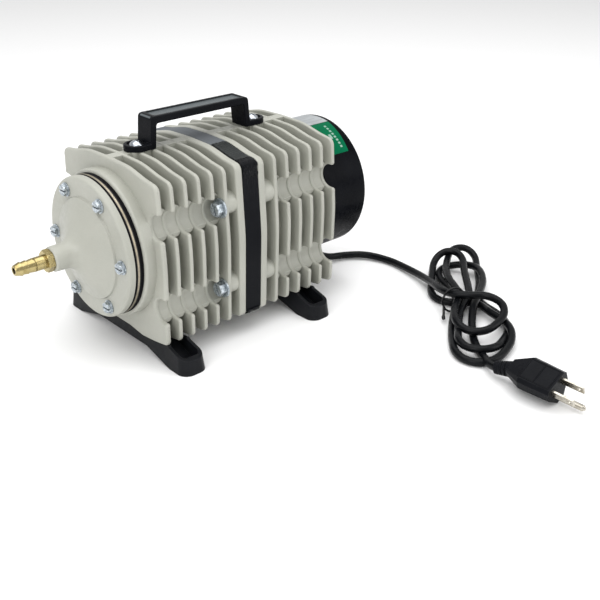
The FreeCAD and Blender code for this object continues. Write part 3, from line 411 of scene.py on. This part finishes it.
def plug_rubber():
    """Black, with a border and three bars pressed into the plug's face, which is turned about
    the plug's length."""
    middle, turn = at(173.5, 0, 15.4), math.radians(26.0)
    panel, border, bars = (-0.2855, -0.2615), (0.0082, 0.0090), (-0.2855, -0.2735, -0.2620)
    bar_half = 0.0004
    look = moulded("plug_rubber", (0.0045, 0.005, 0.0065), 0.3, 0.0008, 2400.0, 0.00003)
    across_x = look.math("MULTIPLY", look.math("SUBTRACT", look.axis(0), middle.x), math.cos(turn))
    across_z = look.math("MULTIPLY", look.math("SUBTRACT", look.axis(2), middle.z), math.sin(turn))
    across = look.math("ABSOLUTE", look.math("ADD", across_x, across_z))
    groove = look.math("MULTIPLY", look.band(across, *border), look.band(look.axis(1), *panel))
    for y in bars:
        bar = look.band(look.axis(1), y - bar_half, y + bar_half)
        bar = look.math("MULTIPLY", bar, look.spread(across, 0.0088, 0.0090, 1.0, 0.0))
        groove = look.math("MAXIMUM", groove, bar)
    look.bump(groove, 0.0007, 1.0)
    return look


paint(cast_paint(), nodes["front_casing"], nodes["rear_casing"], nodes["cylinder_head_cover"])
paint(zinc_plate(), nodes["cover_screws"], nodes["casing_bolts"], nodes["casing_washers"],
      nodes["foot_screws"], nodes["cap_screws"], nodes["piston_nut"])
paint(plated("pan_head_zinc", (0.62, 0.65, 0.69), (0.34, 0.37, 0.41), 0.2), nodes["handle_screws"])
paint(turned("brass_turned", (0.47, 0.39, 0.19), (0.36, 0.285, 0.12), 0.2), nodes["outlet_barb"])
paint(golden_plate(), nodes["valve_plate"])
paint(turned("alloy_turned", (0.72, 0.73, 0.74), (0.5, 0.51, 0.53), 0.3),
      nodes["cylinder_liner"], nodes["piston_head"], nodes["spring_seat"])
paint(turned("sintered_bronze", (0.50, 0.33, 0.18), (0.32, 0.2, 0.1), 0.45), nodes["guide_bush"])
paint(plated("spring_steel", (0.50, 0.51, 0.53), (0.34, 0.35, 0.38), 0.25), nodes["return_spring"],
      nodes["inlet_reed"], nodes["outlet_reed"], nodes["inlet_reed_clamp"], nodes["outlet_reed_stop"],
      nodes["drive_rod"])
paint(plated("nickel_plate", (0.60, 0.57, 0.50), (0.42, 0.39, 0.33), 0.24), nodes["plug_blades"],
      nodes["ground_pin"])
paint(laminated_steel(), nodes["field_core"], nodes["armature"])
paint(enamelled_wire(), nodes["field_coils"])
paint(moulded("gasket_sheet", (0.003, 0.003, 0.004), 0.6, 0.0002, 2600.0), nodes["cover_gasket"],
      nodes["head_gasket"])
paint(moulded("ring_polymer", (0.10, 0.06, 0.035), 0.5), nodes["piston_ring"])
paint(moulded("natural_nylon", (0.52, 0.48, 0.38), 0.45), nodes["coil_bobbins"],
      nodes["terminal_block"])
paint(moulded("white_lead", (0.70, 0.70, 0.68), 0.35), nodes["coil_leads"])
paint(pressed_felt(), nodes["intake_filter"])
paint(handle_plastic(), nodes["carry_handle"])
paint(moulded("cap_plastic", (0.0028, 0.0032, 0.0045), 0.27, 0.0008, 2200.0, 0.00002, 0.04),
      nodes["motor_cap"])
paint(moulded("foot_plastic", (0.006, 0.0066, 0.0082), 0.36, 0.0007, 1300.0, 0.00006, 0.12),
      nodes["front_foot"], nodes["rear_foot"])
paint(moulded("relief_rubber", (0.004, 0.004, 0.005), 0.45, 0.0003), nodes["cord_relief"])
paint(plug_rubber(), nodes["plug_body"])


# ---- labels on the motor cap --------------------------------------------------------------------
def polar_angle(look):
    """Degrees round the pump's axis from the top towards the side of -Y."""
    lifted = look.math("SUBTRACT", look.axis(2), AXIS_Z)
    sideways = look.math("MULTIPLY", look.axis(1), -1.0)
    return look.math("MULTIPLY", look.math("ARCTAN2", sideways, lifted), 180.0 / math.pi)


def label_film(name, ground, print_colour, lines, margin, rough, gloss, reach, slant):
    """Printed film on a plain ground. Each line is a bar: two angles and two places along X.
    Past the station in reach the film is margin, and the slant brings that edge nearer with
    each degree round the cap."""
    look = Look(name, ground, rough, spec=gloss)
    angle = polar_angle(look)
    tone = look.mix(look.spread(look.noise(90.0, 3), 0.35, 0.65), ground,
                    tuple(c * 0.86 for c in ground))
    for low, high, start, end in lines:
        across = look.band(angle, low, high, 0.15)
        along = look.band(look.axis(0), start, end)
        tone = look.mix(look.math("MULTIPLY", across, along), tone, print_colour)
    slanted = look.math("ADD", look.axis(0), look.math("MULTIPLY", angle, slant))
    tone = look.mix(look.spread(slanted, at(reach, 0, 0).x, at(reach - 0.2, 0, 0).x), margin, tone)
    look.set("Base Color", tone)
    look.bump(look.noise(400.0, 3), 0.00004, 0.3)
    look.bump(look.noise(40.0, 2), 0.0006, 0.25)
    return look


MARGIN = (0.003, 0.0034, 0.0045)
first, last = at(178.5, 0, 0).x, at(210.0, 0, 0).x
bars = [(8.0 - 5.2 * i, 9.6 - 5.2 * i, first, last - 0.004 * (i % 3)) for i in range(9)]
silver = label_film("silver_label", (0.37, 0.39, 0.40), (0.29, 0.305, 0.315), bars,
                    MARGIN, 0.4, 0.12, 212.4, 0.0)
paint(silver, nodes["rating_label"])
first, last = at(202.4, 0, 0).x, at(204.6, 0, 0).x
blocks = [(19.0 + 3.4 * i, 21.0 + 3.4 * i, first, last) for i in range(8)]
blocks.append((30.0, 35.0, at(198.0, 0, 0).x, at(200.6, 0, 0).x))
green = label_film("green_label", (0.001, 0.125, 0.052), (0.26, 0.40, 0.34), blocks,
                   MARGIN, 0.35, 0.03, 214.0, 0.000115)
paint(green, nodes["side_label"])


# ---- seal band: smooth, with a grey painted highlight on top, a lapped end and creased corners ---
def band_rubber():
    """Painted highlight: grey on the top as far as the lap, where the light falls; black elsewhere,
    creased at the corners.
    """
    look = Look("band_rubber", (0.005, 0.0055, 0.007), 0.36, spec=0.07)
    # painted highlight: the lit top of the band is painted grey
    lit = look.math("MULTIPLY", look.spread(look.axis(1), -0.026, -0.024),
                    look.spread(look.axis(2), 0.13, 0.14))
    grain = look.noise(260.0, 4, 0.6, (1, 0.25, 1))
    grey = look.mix(grain, (0.105, 0.115, 0.125), (0.135, 0.146, 0.158))
    black = look.mix(look.noise(70.0, 4), (0.0035, 0.004, 0.0055), (0.006, 0.0065, 0.0085))
    look.set("Base Color", look.mix(lit, black, grey))
    look.set("Roughness", look.spread(lit, 0.0, 1.0, 0.36, 0.55))
    creased = look.math("MULTIPLY", look.band(look.axis(2), 0.118, 0.146, 0.004),
                        look.noise(150.0, 3, 0.6, (5.0, 0.6, 0.6)))
    look.bump(creased, 0.0012, 0.9)
    look.bump(look.noise(60.0, 3, 0.5, (2.5, 1, 0.5)), 0.0006, 0.3)
    look.bump(look.noise(1500.0, 2), 0.00005, 0.35)
    return look


paint(band_rubber(), nodes["seal_band"])

# corners (y, z) of the casing's outline on the side of -Y, each with its rounding radius, in mm
OUTLINE = [(0.0, 151.1, 150.0), (-27.0, 150.3, 60.0), (-46.5, 145.8, 20.0), (-61.8, 143.5, 6.0),
           (-65.6, 86.0, 150.0), (-63.4, 19.2, 4.5), (-45.0, 16.3, 25.0), (-30.0, 14.8, 25.0)]
ROW = 0.8                   # distance between two points of the outline, in mm


def side_line():
    """Points (y, z, outward direction) down the casing's outline, from the top to underneath."""
    corners = [Vector((y, z, 0)) for y, z, _ in OUTLINE]
    line = [corners[0]]
    for i in range(1, len(corners) - 1):
        into = (corners[i] - corners[i - 1]).normalized()
        out = (corners[i + 1] - corners[i]).normalized()
        back = OUTLINE[i][2] * math.tan(into.angle(out) / 2.0)
        start, end = corners[i] - into * back, corners[i] + out * back
        for k in range(9):
            t = k / 8.0
            line.append(start * (1 - t) ** 2 + corners[i] * 2 * t * (1 - t) + end * t ** 2)
    line.append(corners[-1])
    even = []
    for p, q in zip(line, line[1:]):
        count = max(1, round((q - p).length / ROW))
        way = (q - p).normalized() if (q - p).length else Vector((0, -1, 0))
        for k in range(count):
            even.append((p.lerp(q, k / count), Vector((way.y, -way.x, 0))))
    return even


def ripple(a, b, c):
    """Smooth, repeatable unevenness between -1 and 1."""
    return math.sin(a * 1.9 + 0.7) * math.sin(b * 2.3 + 1.1) * 0.6 + math.sin(a * 3.1 + b * 1.3 + c) * 0.4


def band_strip(name, keep, start, end, lift, rough_edge):
    """Strip of rubber on the band, between two stations, over the part of the outline for which
    keep is true. It has uneven edges and surface, and thins out towards its last row. Lengths
    are in mm."""
    thick, sink, waves = 0.9, 0.5, 0.22
    rolled, roll_start = 0.25, 0.86
    line = [(p, n) for p, n in side_line() if keep(p)]
    rows, across = len(line), 22
    width = across + 1
    verts, faces = [], []
    for top in (1.0, 0.0):
        for i, (p, n) in enumerate(line):
            run = i * ROW
            outward = n if n.dot(p - Vector((0, AXIS_Z * 1000.0, 0))) > 0 else -n
            fade = min(1.0, (rows - 1 - i) / 7.0)
            for k in range(width):
                t = k / across
                wide = rough_edge * ripple(run * 0.35, 4.0 if t > 0.5 else 1.0, 0.0)
                s = start + (end - start) * t + wide * (2 * t - 1)
                edge_drop = rolled * max(0.0, abs(2 * t - 1) - roll_start) / (1 - roll_start)
                bump = lift * fade + waves * ripple(run * 0.5, s * 0.9, run * 0.2) - edge_drop
                q = p + outward * (bump * top + (lift - thick) * (1 - top) - sink)
                verts.append(at(s, q.x, q.y))

    def index(layer, i, k):
        return layer * rows * width + i * width + k

    for i in range(rows - 1):
        for k in range(across):
            faces.append((index(0, i, k), index(0, i, k + 1), index(0, i + 1, k + 1), index(0, i + 1, k)))
            faces.append((index(1, i, k), index(1, i + 1, k), index(1, i + 1, k + 1), index(1, i, k + 1)))
        for k in (0, across):
            faces.append((index(0, i, k), index(1, i, k), index(1, i + 1, k), index(0, i + 1, k)))
    for i in (0, rows - 1):
        for k in range(across):
            faces.append((index(0, i, k), index(0, i, k + 1), index(1, i, k + 1), index(1, i, k)))
    mesh = bpy.data.meshes.new(name)
    mesh.from_pydata(verts, [], faces)
    work = bmesh.new()
    work.from_mesh(mesh)
    bmesh.ops.recalc_face_normals(work, faces=work.faces)
    work.to_mesh(mesh)
    work.free()
    mesh.polygons.foreach_set("use_smooth", [True] * len(mesh.polygons))
    strip = new_object(name, mesh)
    return strip


def lap_rubber():
    look = moulded("lap_rubber", (0.014, 0.0165, 0.016), 0.34, 0.0003, 1500.0, 0.00005, 0.2)
    look.bump(look.noise(110.0, 3, 0.5, (4.0, 0.7, 0.7)), 0.0009, 0.6)
    return look


def fold_rubber():
    look = moulded("fold_rubber", (0.003, 0.0035, 0.0045), 0.2, 0.0003, 1500.0, 0.00003, 0.09)
    look.bump(look.noise(120.0, 3, 0.55, (5.0, 0.8, 0.8)), 0.0022, 1.0)
    return look


paint(lap_rubber(),
      band_strip("band_lap", lambda p: -57.0 < p.x < -24.5 and p.y > 100, 77.6, 91.0, 0.55, 0.5))
paint(fold_rubber(),
      band_strip("band_corner_fold", lambda p: p.x < -53.0 and p.y > 131.0, 77.0, 91.6, 0.7, 0.9),
      band_strip("band_bottom_fold", lambda p: p.x < -50.0 and p.y < 23.5, 78.0, 90.6, 0.9, 0.9))


# ---- twist tie round the waist of the hank ------------------------------------------------------
def twist_tie():
    """Coated wire round the strands with its two ends twisted together."""
    middle = Vector((231.5, -150.5, 12.2))
    half_width, half_height = 10.2, 11.0
    across = Vector((0.9, -0.43, 0.0)).normalized()
    line = []
    for k in range(27):
        a = math.radians(200 + 390 * k / 26.0)
        wide = half_width + 0.5 * math.sin(k * 1.7)
        slant = Vector((0.3, 0.6, 0)) * (k / 26.0 * 2.4)
        rise = Vector((0, 0, half_height * math.sin(a)))
        line.append(middle + across * (wide * math.cos(a)) + rise + slant)
    pieces = [spline_curve("twist_tie", [at(*p) for p in line], 0.0009)]
    root, tip = Vector((222.5, -147.0, 8.0)), Vector((211.5, -156.0, 4.6))
    for number, phase in enumerate((0.0, math.pi)):
        points = []
        for k in range(30):
            t = k / 29.0
            spread = 1.2 + (1.6 * (t - 0.8) / 0.2 if t > 0.8 else 0.0)
            a = phase + t * 22.0
            turn = Vector((0.5 * math.cos(a), 0.8 * math.cos(a), math.sin(a)))
            points.append(root.lerp(tip, t) + turn * spread)
        pieces.append(spline_curve("tie_end_%d" % number, [at(*p) for p in points], 0.0008))
    return pieces


tie_pieces = twist_tie()
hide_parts("cord_tie")
tie_look = Look("tie_coating", (0.004, 0.004, 0.005), 0.25, spec=0.3)
tie_look.bump(tie_look.noise(800.0, 3), 0.00008, 0.5)
paint(tie_look, *tie_pieces)
